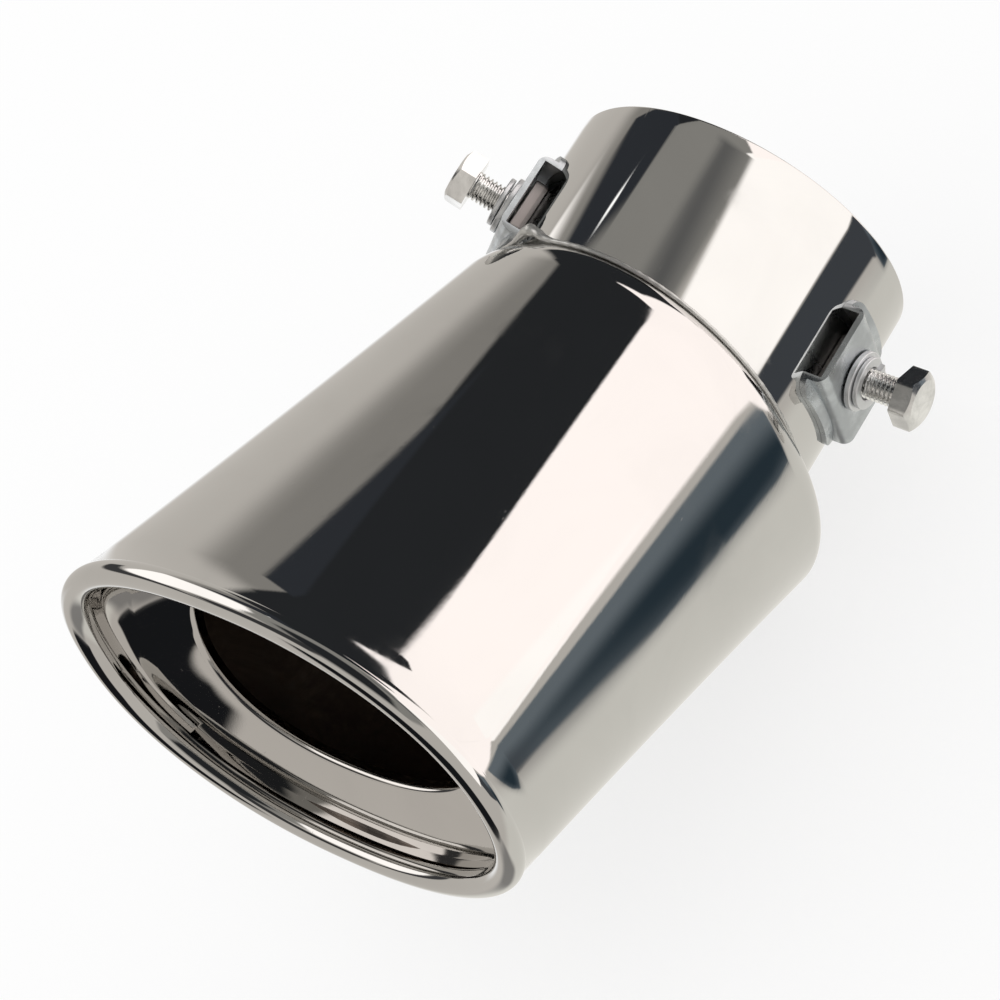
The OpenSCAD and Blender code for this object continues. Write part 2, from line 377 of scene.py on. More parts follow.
@dataclass(frozen=True)
class Finish:
    """Base of the metal finishes: a name, a colour and a roughness."""

    name: str
    colour: tuple[float, float, float]
    roughness: float

    def material(self) -> bpy.types.Material:
        """Build the material, once for each finish.

        Returns:
            The material, with this finish's detail wired by dress.
        """
        made = bpy.data.materials.get(self.name)
        if made:
            return made
        made = bpy.data.materials.new(self.name)
        made.use_nodes = True
        board = NodeBoard(made.node_tree)
        shader = made.node_tree.nodes["Principled BSDF"]
        shader.inputs["Metallic"].default_value = 1.0
        shader.inputs["Base Color"].default_value = rgba(self.colour)
        shader.inputs["Roughness"].default_value = self.roughness
        place = board.add("ShaderNodeTexCoord").outputs["Object"]
        self.dress(board, shader, place)
        made.diffuse_color = rgba(self.colour)
        return made

    def dress(self, board: NodeBoard, shader: bpy.types.Node, place: bpy.types.NodeSocket) -> None:
        """Wire the finish's own detail; the base has none.

        Args:
            board: the material's node board.
            shader: its metal shader.
            place: the object's own coordinates.
        """


@dataclass(frozen=True)
class MirrorSteel(Finish):
    """Mirror-polished stainless sheet, with wipe marks, faint polishing lines and hair scratches."""

    smudge: float = 0.11
    shade: float = 0.955
    cloud_scale: float = 38.0
    finger_scale: float = 150.0
    wave_scale: float = 22.0
    wave_depth: float = 0.000012
    line_depth: float = 0.0000012
    scratch_depth: float = 0.000004
    along_shell: tuple[float, float, float] = (-21.3, 0.0, 0.0)
    wipe_stretch: tuple[float, float, float] = (260.0, 30.0, 260.0)
    line_stretch: tuple[float, float, float] = (2600.0, 60.0, 2600.0)
    hair_stretch: tuple[float, float, float] = (900.0, 40.0, 1500.0)
    hair_turn: tuple[float, float, float] = (30.0, 12.0, 35.0)

    def dress(self, board: NodeBoard, shader: bpy.types.Node, place: bpy.types.NodeSocket) -> None:
        """Wipe marks roughen the mirror, and a slow wave and fine lines bend it.

        Args:
            board: the material's node board.
            shader: its metal shader.
            place: the object's own coordinates.
        """
        cloud = board.noise(place, self.cloud_scale, 5.0, 0.55, 0.8)
        patch = board.spread(cloud, 0.54, 0.70, 0.0, 1.0)
        streaks = board.noise(board.stretch(place, self.wipe_stretch, self.along_shell), 1.0, 3.0, 0.6)
        wiped = board.maths("MULTIPLY", patch, board.spread(streaks, 0.35, 0.7, 0.35, 1.0))
        prints = board.noise(place, self.finger_scale, 3.0, 0.6, 1.5)
        fingers = board.spread(prints, 0.66, 0.76, 0.0, 0.6)
        dulled = board.maths("MULTIPLY", board.maths("ADD", wiped, fingers), self.smudge)
        board.put(shader.inputs["Roughness"], board.maths("ADD", dulled, self.roughness))
        darker = tuple(self.shade * c for c in self.colour)
        tint = board.blend(board.spread(cloud, 0.35, 0.75, 0.0, 1.0), rgba(self.colour), rgba(darker))
        board.put(shader.inputs["Base Color"], tint)
        slow = board.noise(place, self.wave_scale, 1.0, 0.4)
        lines = board.noise(board.stretch(place, self.line_stretch, self.along_shell), 1.0, 2.0, 0.6)
        hair = board.noise(board.stretch(place, self.hair_stretch, self.hair_turn), 1.0, 2.0, 0.7)
        scratch = board.spread(hair, 0.735, 0.76, 0.0, 1.0)
        normal = board.bump(slow, self.wave_depth)
        normal = board.bump(lines, self.line_depth, 1.0, normal)
        normal = board.bump(scratch, self.scratch_depth, 0.6, normal)
        board.put(shader.inputs["Normal"], normal)


@dataclass(frozen=True)
class SootySteel(Finish):
    """Unpolished inner side of the sheet, darkened brown."""

    blotch_scale: float = 60.0
    black_share: float = 0.35
    rolled_stretch: tuple[float, float, float] = (900.0, 90.0, 900.0)
    rolled_depth: float = 0.00002

    def dress(self, board: NodeBoard, shader: bpy.types.Node, place: bpy.types.NodeSocket) -> None:
        """Brown and black blotches with rolling lines.

        Args:
            board: the material's node board.
            shader: its metal shader.
            place: the object's own coordinates.
        """
        blotch = board.noise(place, self.blotch_scale, 6.0, 0.6, 0.5)
        dark = tuple(self.black_share * c for c in self.colour)
        tint = board.blend(board.spread(blotch, 0.35, 0.65, 0.0, 1.0), rgba(dark), rgba(self.colour))
        board.put(shader.inputs["Base Color"], tint)
        board.put(shader.inputs["Roughness"], board.spread(blotch, 0.3, 0.7, self.roughness, 0.3))
        rolled = board.noise(board.stretch(place, self.rolled_stretch), 1.0, 3.0, 0.6)
        board.put(shader.inputs["Normal"], board.bump(rolled, self.rolled_depth, 0.5))


@dataclass(frozen=True)
class ZincPlate(Finish):
    """Zinc plate on a pressed or rolled part: cloudy, slightly grained, worn bright in places."""

    grain: float = 900.0
    grain_depth: float = 0.00001
    cloud_share: float = 0.18
    cloud_scale: float = 170.0

    def dress(self, board: NodeBoard, shader: bpy.types.Node, place: bpy.types.NodeSocket) -> None:
        """Clouds change colour and roughness, and a fine grain bends the surface.

        Args:
            board: the material's node board.
            shader: its metal shader.
            place: the object's own coordinates.
        """
        cloud = board.noise(place, self.cloud_scale, 5.0, 0.6, 0.4)
        fine = board.noise(place, self.grain, 3.0, 0.6)
        dull = tuple((1.0 - self.cloud_share) * c for c in self.colour)
        bright = tuple(min(1.0, 1.12 * c) for c in self.colour)
        tint = board.blend(board.spread(cloud, 0.35, 0.68, 0.0, 1.0), rgba(dull), rgba(bright))
        board.put(shader.inputs["Base Color"], tint)
        rough = board.spread(cloud, 0.3, 0.7, 1.25 * self.roughness, 0.75 * self.roughness)
        grainy = board.spread(fine, 0.4, 0.8, 0.0, 0.06)
        board.put(shader.inputs["Roughness"], board.maths("ADD", rough, grainy))
        board.put(shader.inputs["Normal"], board.bump(fine, self.grain_depth, 0.6))


@dataclass(frozen=True)
class DullNutSteel(Finish):
    """Plain nut steel, brown-grey with bright rubbed streaks along the nut."""

    film: float = 0.45
    bare: tuple[float, float, float] = (0.62, 0.58, 0.55)
    streak_stretch: tuple[float, float, float] = (1400.0, 220.0, 1400.0)
    streak_depth: float = 0.00008

    def dress(self, board: NodeBoard, shader: bpy.types.Node, place: bpy.types.NodeSocket) -> None:
        """Brown film, rubbed through in streaks.

        Args:
            board: the material's node board.
            shader: its metal shader.
            place: the object's own coordinates.
        """
        streak = board.noise(board.stretch(place, self.streak_stretch), 1.0, 4.0, 0.6, 0.6)
        rubbed = board.spread(streak, 0.50, 0.62, 0.0, 1.0)
        board.put(shader.inputs["Metallic"], board.spread(rubbed, 0.0, 1.0, 1.0 - self.film, 1.0))
        tint = board.blend(rubbed, rgba(self.colour), rgba(self.bare))
        board.put(shader.inputs["Base Color"], tint)
        board.put(shader.inputs["Roughness"], board.spread(streak, 0.4, 0.7, self.roughness, 0.2))
        board.put(shader.inputs["Normal"], board.bump(streak, self.streak_depth, 0.5))


@dataclass(frozen=True)
class WeldMetal(Finish):
    """Bare weld bead: glossy, lumpy and slightly stained."""

    stained: tuple[float, float, float] = (0.30, 0.29, 0.25)
    stain_scale: float = 330.0
    lump_scale: float = 700.0
    lump_depth: float = 0.00018

    def dress(self, board: NodeBoard, shader: bpy.types.Node, place: bpy.types.NodeSocket) -> None:
        """Stains in the colour and small lumps on the surface.

        Args:
            board: the material's node board.
            shader: its metal shader.
            place: the object's own coordinates.
        """
        stain = board.noise(place, self.stain_scale, 4.0, 0.6, 0.6)
        clean = board.spread(stain, 0.42, 0.62, 0.0, 1.0)
        board.put(shader.inputs["Base Color"], board.blend(clean, rgba(self.stained), rgba(self.colour)))
        rough = board.spread(stain, 0.35, 0.7, 1.6 * self.roughness, self.roughness)
        board.put(shader.inputs["Roughness"], rough)
        lumps = board.noise(place, self.lump_scale, 3.0, 0.5, 0.3)
        board.put(shader.inputs["Normal"], board.bump(lumps, self.lump_depth, 0.7))


MIRROR = MirrorSteel("mirror_steel", (0.62, 0.615, 0.60), 0.028)
FUNNEL_MIRROR = MirrorSteel("funnel_steel", (0.60, 0.585, 0.565), 0.045, smudge=0.10)
SOOTY = SootySteel("sooty_steel", (0.16, 0.125, 0.10), 0.5)
SATIN_ZINC = ZincPlate("satin_zinc", (0.50, 0.53, 0.55), 0.30, cloud_share=0.10)
BRIGHT_ZINC = ZincPlate("bright_zinc", (0.80, 0.80, 0.79), 0.13, grain=700.0, grain_depth=0.00002)
WASHER_ZINC = ZincPlate("washer_zinc", (0.66, 0.665, 0.67), 0.20, grain=800.0, grain_depth=0.00002)
NUT_STEEL = DullNutSteel("nut_steel", (0.33, 0.28, 0.26), 0.40)
WELD_METAL = WeldMetal("weld_metal", (0.50, 0.50, 0.47), 0.16)


# The tip's sheet metal


@dataclass
class TipLayout:
    """Sizes that the shell, the funnel, the neck and the weld share, as in the model's source."""

    neck_od: float = 63.0
    neck_wall: float = 1.2
    neck_length: float = 35.2
    neck_reach: float = 3.0
    bend_angle: float = 21.3
    rear_drop: float = 5.3
    shell_length: float = 89.9
    shell_wall: float = 1.0
    rear_width: float = 70.0
    rear_height: float = 76.2
    mouth_width: float = 98.6
    mouth_height: float = 59.2
    mouth_slant: float = 6.9
    oval_power: float = 2.2
    shoulder_run: float = 5.0
    bead_radius: float = 2.3
    bead_proud: float = 0.4
    bead_curl_end: float = 230.0
    weld_gap: float = 0.06

    @property
    def neck_r(self) -> float:
        """Outer radius of the neck."""
        return self.neck_od / 2

    @property
    def bore_r(self) -> float:
        """Inner radius of the neck."""
        return self.neck_r - self.neck_wall

    @property
    def mitre(self) -> float:
        """Half of the bend, the tilt of the joint between neck and shell."""
        return self.bend_angle / 2

    @property
    def mitre_slope(self) -> float:
        """Rise of the mitre plane along Y for each millimetre of Z."""
        return float(np.tan(np.radians(self.mitre)))

    def place(self, x: Array, s: Array, z: Array) -> Array:
        """Point from the shell's own coordinates, turned down by the bend behind the mitre.

        Args:
            x: across.
            s: back from the mouth along the shell.
            z: up, square to the shell.

        Returns:
            The points, with x, y, z as the last axis.
        """
        back = np.array([0.0, cosd(self.bend_angle), -sind(self.bend_angle)])
        up = np.array([0.0, sind(self.bend_angle), cosd(self.bend_angle)])
        centre = np.array([0.0, -self.neck_length - self.mitre_slope * self.rear_drop, -self.rear_drop])
        x, s, z = np.broadcast_arrays(x, s, z)
        return (centre + x[..., None] * np.array([1.0, 0.0, 0.0])
                + (s - self.shell_length)[..., None] * back + z[..., None] * up)

    def oval(self, a: Array, b: Array, t: Array) -> tuple[Array, Array]:
        """Superellipse: each half width times a signed power of the cosine or sine of t.

        Args:
            a: half width.
            b: half height.
            t: angle round the oval.

        Returns:
            x and z of the points.
        """
        power = 2 / self.oval_power
        c, s = cosd(t), sind(t)
        return a * np.sign(c) * np.abs(c) ** power, b * np.sign(s) * np.abs(s) ** power

    def wall(self, t: Array, s: Array, off: Array | float) -> Array:
        """Shell wall: an oval that changes evenly from mouth to rear, sheared to the ends' slants.

        Args:
            t: angle round the shell.
            s: distance back from the mouth.
            off: offset outwards from the outer side of the sheet.

        Returns:
            The points.
        """
        f = s / self.shell_length
        a = lerp(self.mouth_width, self.rear_width, f) / 2 + off
        b = lerp(self.mouth_height, self.rear_height, f) / 2 + off
        px, pz = self.oval(a, b, t)
        slope = lerp(-np.tan(np.radians(self.mouth_slant)), -self.mitre_slope, f)
        return self.place(px, s + slope * pz, pz)

    def bead(self, t: Array, r: float, q: Array) -> Array:
        """Rolled bead: a circle of radius r round the curl's centre, q from straight outwards."""
        off = self.bead_proud - self.bead_radius + r * cosd(q)
        return self.wall(t, self.bead_radius - r * sind(q), off)

    def mitre_ring(self, t: Array, r: Array | float) -> Array:
        """Circle of radius r round the neck's axis, laid on the mitre plane."""
        z = r * sind(t)
        return np.stack([r * cosd(t), -self.neck_length + self.mitre_slope * z, z], axis=-1)


@dataclass
class OuterShell:
    """The oval shell: curl, bead, wall, shoulder and neck hole, with both sides of the sheet."""

    layout: TipLayout
    around: int = 288
    wall_steps: int = 18
    bead_steps: int = 34
    shoulder_steps: int = 16
    edge_land: float = 0.2

    def shoulder(self, t: Array, s_wall: float, off: float, s_corner: float, seat: Array,
                 deep: float) -> Array:
        """Quarter of an ellipse from the wall to the rear face.

        Args:
            t: angles round the shell, one a row.
            s_wall: where the shoulder starts.
            off: offset of this side of the sheet.
            s_corner: where the wall would end without a shoulder.
            seat: points of the neck's hole, one a row.
            deep: the most that the shoulder may rise.

        Returns:
            Rows by steps by 3.
        """
        q = 90 * np.arange(1, self.shoulder_steps + 1) / self.shoulder_steps
        start = self.layout.wall(t, np.full_like(t, s_wall), off)
        corner = self.layout.wall(t, np.full_like(t, s_corner), off)
        gap = seat - corner
        length = np.linalg.norm(gap, axis=-1, keepdims=True)
        rise = np.minimum(deep, length - self.edge_land)
        along = (corner - start) * sind(q)[None, :, None]
        return start + along + gap / length * rise * (1 - cosd(q))[None, :, None]

    def build(self) -> bpy.types.Object:
        """Build the shell as one closed skin.

        Returns:
            The shell, polished outside and sooty inside.
        """
        lay = self.layout
        t = np.linspace(0, 360, self.around, endpoint=False)[:, None]
        curl_r = lay.bead_radius - lay.shell_wall
        outer_start = -np.degrees(np.arccos((lay.bead_radius - lay.bead_proud) / lay.bead_radius))
        inner_start = -np.degrees(np.arccos((curl_r - lay.bead_proud) / curl_r))
        shoulder_at = lay.shell_length - lay.shoulder_run
        outer_s = lay.bead_radius - lay.bead_radius * sind(outer_start)
        inner_s = lay.bead_radius - curl_r * sind(inner_start)
        steps = np.arange(1, self.wall_steps + 1)[None, :] / self.wall_steps
        seat = lay.mitre_ring(t, lay.neck_r + lay.weld_gap)
        seat_in = seat - np.array([0.0, lay.shell_wall, 0.0])
        outer_q = np.linspace(lay.bead_curl_end, outer_start, self.bead_steps)[None, :]
        inner_q = np.linspace(inner_start, lay.bead_curl_end, self.bead_steps)[None, :]
        outside = [lay.bead(t, lay.bead_radius, outer_q),
                   lay.wall(t, lerp(outer_s, shoulder_at, steps), 0.0),
                   self.shoulder(t, shoulder_at, 0.0, lay.shell_length, seat, lay.shoulder_run),
                   seat]
        inside = [seat_in,
                  self.shoulder(t, shoulder_at, -lay.shell_wall, lay.shell_length - lay.shell_wall,
                                seat_in, lay.shoulder_run - lay.shell_wall)[:, ::-1],
                  lay.wall(t, lerp(inner_s, shoulder_at, steps), -lay.shell_wall)[:, ::-1],
                  lay.bead(t, curl_r, inner_q)]
        polished = sum(part.shape[1] for part in outside)
        loop = np.concatenate(outside + inside, axis=1)
        finish = np.where(np.arange(loop.shape[1]) < polished, 0, 1)
        finish[-1] = 0
        skin = Skin()
        skin.grid(loop, True, True, finish)
        piece = skin.make("polished_shell", [MIRROR.material(), SOOTY.material()], 50.0)
        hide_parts("outer_shell")
        return piece


@dataclass
class Funnel:
    """The funnel behind the bead: a land, a groove, a wall that narrows, and a collar."""

    layout: TipLayout
    liner_wall: float = 0.8
    liner_gap: float = 0.2
    liner_land: float = 1.6
    liner_groove: float = 0.7
    opening_width: float = 68.8
    opening_height: float = 31.4
    opening_depth: float = 14.0
    opening_tilt: float = 11.5
    opening_lift: float = 0.7
    collar_length: float = 2.0
    funnel_power: float = 1.4
    groove_share: float = 1 / 3
    lip_round: float = 0.9
    lip_look_back: float = 0.95
    lip_steps: int = 9
    around: int = 288
    steps: int = 40

    def point(self, t: Array, f: Array, off: float) -> Array:
        """Funnel wall: ovals that narrow as f to a power, with a cosine groove at the front.

        Args:
            t: angle round the funnel.
            f: share of the way from the front to the opening.
            off: offset outwards, for the outer side of the sheet.

        Returns:
            The points.
        """
        lay = self.layout
        front_s = (lay.bead_radius - lay.bead_radius * sind(lay.bead_curl_end)
                   + self.liner_gap + self.liner_land)
        front_off = lay.bead_proud - 2 * lay.bead_radius
        inward = f ** self.funnel_power
        groove = self.liner_groove * cosd(90 * np.minimum(1.0, f / self.groove_share))
        a = lerp(lay.mouth_width / 2 + front_off, self.opening_width / 2, inward) + groove + off
        b = lerp(lay.mouth_height / 2 + front_off, self.opening_height / 2, inward) + groove + off
        px, pz = lay.oval(a, b, t)
        slope = lerp(-np.tan(np.radians(lay.mouth_slant)), np.tan(np.radians(self.opening_tilt)), f)
        return lay.place(px, lerp(front_s, self.opening_depth, f) + slope * pz, pz + f * self.opening_lift)

    def build(self) -> bpy.types.Object:
        """Build the funnel as one closed skin, its lip a parabola from the wall to the collar.

        Returns:
            The funnel, polished towards the mouth and sooty behind.
        """
        bend = self.layout.bend_angle
        back = np.array([0.0, cosd(bend), -sind(bend)])
        t = np.linspace(0, 360, self.around, endpoint=False)[:, None]
        f = np.linspace(0, 1, self.steps)[None, :]
        lip = np.array([0.0, 0.35, 0.7, 1.0])[None, :, None] * self.collar_length * back
        front, end = np.zeros_like(t), np.ones_like(t)
        edge = self.point(t, end, 0.0)
        along = edge - self.point(t, self.lip_look_back * end, 0.0)
        along /= np.linalg.norm(along, axis=-1, keepdims=True)
        near, far = edge - self.lip_round * along, edge + self.lip_round * back
        q = np.linspace(0, 1, self.lip_steps)[None, :, None]
        fillet = (1 - q) ** 2 * near + 2 * q * (1 - q) * edge + q ** 2 * far
        inner = [self.point(t, front, 0.0) - self.liner_land * back,
                 self.point(t, f[:, :-2], 0.0),
                 fillet,
                 edge + lip[:, 2:]]
        outer = [(self.point(t, end, self.liner_wall) + lip[:, 1:])[:, ::-1],
                 self.point(t, f, self.liner_wall)[:, ::-1],
                 self.point(t, front, self.liner_wall) - self.liner_land * back]
        polished = sum(part.shape[1] for part in inner)
        loop = np.concatenate(inner + outer, axis=1)
        skin = Skin()
        skin.grid(loop, True, True, np.where(np.arange(loop.shape[1]) < polished, 0, 1))
        piece = skin.make("mouth_funnel", [FUNNEL_MIRROR.material(), SOOTY.material()], 50.0)
        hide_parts("inner_liner")
        return piece


@dataclass
class InletNeck:
    """The round neck: rim, two walls, the mitred end, and the square seats for the nuts."""

    layout: TipLayout
    seat_side: float = 10.4
    rim_round: float = 0.35
    free_steps: int = 130
    seat_steps: int = 14
    level_steps: int = 6
    end_steps: int = 10
    rim_steps: int = 4

    def angles(self, radius: float) -> tuple[Array, Array]:
        """Angles round the neck with a column on each side of each seat.

        Args:
            radius: radius of the wall, which sets how many degrees a seat spans.

        Returns:
            The angles, and whether the face after each lies inside a seat.
        """
        half = np.degrees(np.arcsin(self.seat_side / 2 / radius))
        right, left = CLAMP_ANGLE[Side.RIGHT], CLAMP_ANGLE[Side.LEFT]
        ends = [right - half, right + half, left - half, left + half, right - half + 360]
        counts = [self.seat_steps, self.free_steps, self.seat_steps, self.free_steps]
        runs = [np.linspace(a, b, n, endpoint=False) for a, b, n in zip(ends[:-1], ends[1:], counts)]
        seated = np.concatenate([np.full(n, k % 2 == 0) for k, n in enumerate(counts)])
        return np.concatenate(runs), seated

    def wall(self, radius: float, angles: Array, levels: Array) -> Array:
        """One wall of the tube: straight levels, then rows down to the mitred end.

        Args:
            radius: radius of the wall.
            angles: angles round the neck.
            levels: distances along the neck, from the rim.

        Returns:
            Angles by rows by 3.
        """
        lay = self.layout
        x, z = radius * cosd(angles), radius * sind(angles)
        end = -lay.neck_length - lay.neck_reach + lay.mitre_slope * z
        share = np.arange(1, self.end_steps + 1)[None, :] / self.end_steps
        tail = lerp(levels[-1], end[:, None], share)
        y = np.concatenate([np.broadcast_to(levels, (len(angles), len(levels))), tail], axis=1)
        x, z = np.broadcast_to(x[:, None], y.shape), np.broadcast_to(z[:, None], y.shape)
        return np.stack([x, y, z], axis=-1)

    def rim(self, radius: float, inward: float, angles: Array, q: Array) -> Array:
        """Rounded edge of one wall: a quarter circle from the wall at q 0 to the rim at q 90.

        Args:
            radius: radius of the wall.
            inward: 1 where the round runs to a smaller radius, -1 to a larger one.
            angles: angles round the neck.
            q: angles along the quarter circle.

        Returns:
            Angles by rows by 3.
        """
        turn = angles[:, None]
        r = radius - inward * self.rim_round * (1 - cosd(q))[None, :]
        y = np.broadcast_to(-self.rim_round * (1 - sind(q)), (len(angles), len(q)))
        return np.stack([r * cosd(turn), y, r * sind(turn)], axis=-1)

    def build(self) -> bpy.types.Object:
        """Build the neck.

        Returns:
            The neck, polished outside and on the rim, sooty inside.
        """
        lay = self.layout
        front, rear = -CLAMP_SETBACK + self.seat_side / 2, -CLAMP_SETBACK - self.seat_side / 2
        levels = np.concatenate([np.linspace(-self.rim_round, front, self.level_steps + 1),
                                 np.linspace(front, rear, self.level_steps + 1)[1:]])
        outer_angles, seated = self.angles(lay.neck_r)
        inner_angles, _ = self.angles(lay.bore_r)
        outer = self.wall(lay.neck_r, outer_angles, levels)
        inner = self.wall(lay.bore_r, inner_angles, levels)
        q = 90 * np.arange(1, self.rim_steps + 1) / self.rim_steps
        rim_out = self.rim(lay.neck_r, 1.0, outer_angles, q)
        rim_in = self.rim(lay.bore_r, -1.0, inner_angles, q[::-1])
        rows = outer.shape[1]
        face = np.arange(rows - 1)
        in_seat = (face >= self.level_steps) & (face < 2 * self.level_steps)
        loop = np.concatenate([outer[:, ::-1], rim_out, rim_in, inner], axis=1)
        columns = loop.shape[1]
        keep = np.ones(loop.shape[:2], bool)
        outer_face = np.zeros(columns, bool)
        outer_face[: rows - 1] = in_seat[::-1]
        inner_face = np.zeros(columns, bool)
        first_inner = columns - rows
        inner_face[first_inner: first_inner + rows - 1] = in_seat
        keep[seated] = ~(outer_face | inner_face)[None, :]
        skin = Skin()
        finish = np.where(np.arange(columns) < rows + 2 * self.rim_steps, 0, 1)
        skin.grid(loop, True, True, finish, keep)
        self.seat_walls(skin, seated, columns, rows, first_inner)
        piece = skin.make("inlet_tube", [MIRROR.material(), SOOTY.material()], 40.0)
        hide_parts("inlet_neck")
        return piece

    def seat_walls(self, skin: Skin, seated: Array, columns: int, rows: int, first_inner: int) -> None:
        """Join the two walls round each seat.

        Args:
            skin: the neck's skin.
            seated: whether the face after each angle lies inside a seat.
            columns: points round the profile.
            rows: points of one wall.
            first_inner: first profile point of the inner wall.
        """
        count = len(seated)
        index = np.arange(count)
        starts = index[seated & ~np.roll(seated, 1)]
        ends = index[~seated & np.roll(seated, 1)]
        first, last = self.level_steps, 2 * self.level_steps
        row = np.arange(first, last)
        inner, outer = first_inner + row, rows - 1 - row
        side = np.stack([outer, outer - 1, inner + 1, inner], axis=-1)
        for edge in np.concatenate([starts, ends]):
            skin.add_quads(edge * columns + side, 1)
        here = index[seated] * columns
        following = (index[seated] + 1) % count * columns
        for row in (first, last):
            inner, outer = first_inner + row, rows - 1 - row
            skin.add_quads(np.stack([here + outer, following + outer, following + inner, here + inner],
                                    axis=-1), 1)


@dataclass
class NeckWeld:
    """The weld in the corner between neck and shell, rippled, with a thick run by the left bracket."""

    layout: TipLayout
    weld_radius: float = 0.5
    lump_radius: float = 1.6
    lump_angle: float = 104.0
    lump_spread: float = 6.0
    ripples: int = 90
    ripple_share: float = 0.10
    sway: float = 25.0
    sways: int = 7
    lump_waves: tuple[int, int] = (38, 17)
    lump_phase: float = 40.0
    visible_share: float = 0.84
    lumpy_share: float = 0.30
    around: int = 1080
    sides: int = 14

    def build(self) -> bpy.types.Object:
        """Build the weld as a closed ring of changing radius.

        The radius grows by a bell curve to the lump, and loses a little by sines of the angle
        for the ripples all round and for the lump's own unevenness.

        Returns:
            The weld bead.
        """
        lay = self.layout
        t = np.linspace(0, 360, self.around, endpoint=False)[:, None]
        lump = np.exp(-(((t - self.lump_angle) / self.lump_spread) ** 2))
        swayed = self.ripples * t + self.sway * sind(self.sways * t)
        ripple = 1 - self.ripple_share * (0.5 + 0.5 * sind(swayed))
        full = self.weld_radius + (self.lump_radius - self.weld_radius) * lump
        fast, slow = self.lump_waves
        uneven = 0.5 + 0.5 * sind(fast * t) * sind(slow * t + self.lump_phase)
        lumpy = 1 - self.lumpy_share * lump * uneven
        r = full * ripple * lumpy * self.visible_share
        seat = lay.mitre_ring(t, lay.neck_r + lay.weld_gap + full)
        seat[..., 1] += full + lay.weld_gap
        q = np.linspace(0, 360, self.sides, endpoint=False)[None, :]
        out = np.stack([cosd(t), np.zeros_like(t), sind(t)], axis=-1)
        along = np.array([0.0, 1.0, 0.0])
        points = seat + r[..., None] * (cosd(q)[..., None] * out + sind(q)[..., None] * along)
        skin = Skin()
        skin.grid(points, True, True)
        piece = skin.make("weld_bead", [WELD_METAL.material()], 60.0)
        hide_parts("neck_weld")
        return piece


# The clamps


@dataclass
class ClampLayout:
    """Sizes and places of one clamp; x is out along its bolt, y along the neck, z round the neck."""

    side: Side
    angle: float
    backed_off: float
    head_turn: float
    bore_r: float = 30.3
    nut_inset: float = 0.1
    nut_height: float = 2.5
    nut_gap: float = 0.2
    sheet: float = 1.0
    washer_slack: float = 0.25
    flat_t: float = 1.0
    lock_t: float = 1.3
    bolt_d: float = 5.0
    bolt_length: float = 11.0
    hole_gap: float = 0.3

    @property
    def body(self) -> str:
        """Name of the CAD body that the bolt rides on."""
        return f"{self.side.value}_bolt"

    @property
    def nut_in(self) -> float:
        """Radius of the nut's inner face."""
        return self.bore_r + self.nut_inset

    @property
    def plate_in(self) -> float:
        """Radius of the plate's inner face."""
        return self.nut_in + self.nut_height + self.nut_gap

    @property
    def flat_in(self) -> float:
        """Radius of the flat washer's inner face."""
        return self.plate_in + self.sheet + self.washer_slack

    @property
    def lock_in(self) -> float:
        """Radius of the lock washer's inner face."""
        return self.flat_in + self.flat_t

    @property
    def head_in(self) -> float:
        """Radius of the head's underside."""
        return self.lock_in + self.lock_t + self.backed_off

    def to_frame(self, points: Array) -> Array:
        """Carry points from the clamp's own axes to the frame: turned round Y and set back.

        Args:
            points: millimetres, x out along the bolt.

        Returns:
            The points in the frame, in millimetres.
        """
        turn = np.array([[cosd(self.angle), 0.0, sind(self.angle)],
                         [0.0, 1.0, 0.0],
                         [-sind(self.angle), 0.0, cosd(self.angle)]])
        return np.asarray(points) @ turn + np.array([0.0, -CLAMP_SETBACK, 0.0])


@dataclass
class Bracket:
    """The pressed bracket: the CAD bracket's own sheet with rounded cut edges."""

    clamp: ClampLayout
    round: float = 0.22

    def build(self) -> bpy.types.Object:
        """Copy and merge the CAD bracket and round its edges.

        Returns:
            The bracket.
        """
        node = f"{self.clamp.side.value}_bracket"
        piece = merged_copy(node, f"{node}_pressing", SATIN_ZINC)
        soften_edges(piece, self.round, 3)
        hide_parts(node)
        return piece


@dataclass
class SquareNut:
    """The captive nut: the CAD nut's own shape with rounded edges."""

    clamp: ClampLayout
    round: float = 0.35

    def build(self) -> bpy.types.Object:
        """Copy and merge the CAD nut and round its edges.

        Returns:
            The nut.
        """
        node = f"{self.clamp.side.value}_square_nut"
        piece = merged_copy(node, f"{node}_worn", NUT_STEEL)
        soften_edges(piece, self.round, 3)
        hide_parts(node)
        return piece


def merged_copy(node: str, name: str, finish: Finish) -> bpy.types.Object:
    """Copy a CAD node's mesh, merge its doubles and join its flat faces.

    Args:
        node: the CAD node.
        name: the new piece's name.
        finish: the finish of the copy.

    Returns:
        The copy.
    """
    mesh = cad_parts[node].data.copy()
    mesh.name = name
    work = bmesh.new()
    work.from_mesh(mesh)
    bmesh.ops.remove_doubles(work, verts=work.verts, dist=MERGE_WITHIN)
    bmesh.ops.dissolve_limit(work, angle_limit=float(np.radians(FLAT_WITHIN)),
                             verts=work.verts, edges=work.edges)
    work.to_mesh(mesh)
    work.free()
    mesh.materials.clear()
    mesh.materials.append(finish.material())
    mesh.polygons.foreach_set("material_index", np.zeros(len(mesh.polygons), np.int32))
    mesh.polygons.foreach_set("use_smooth", np.ones(len(mesh.polygons), bool))
    mesh.set_sharp_from_angle(angle=float(np.radians(35)))
    piece = bpy.data.objects.new(name, mesh)
    bpy.context.scene.collection.objects.link(piece)
    return piece


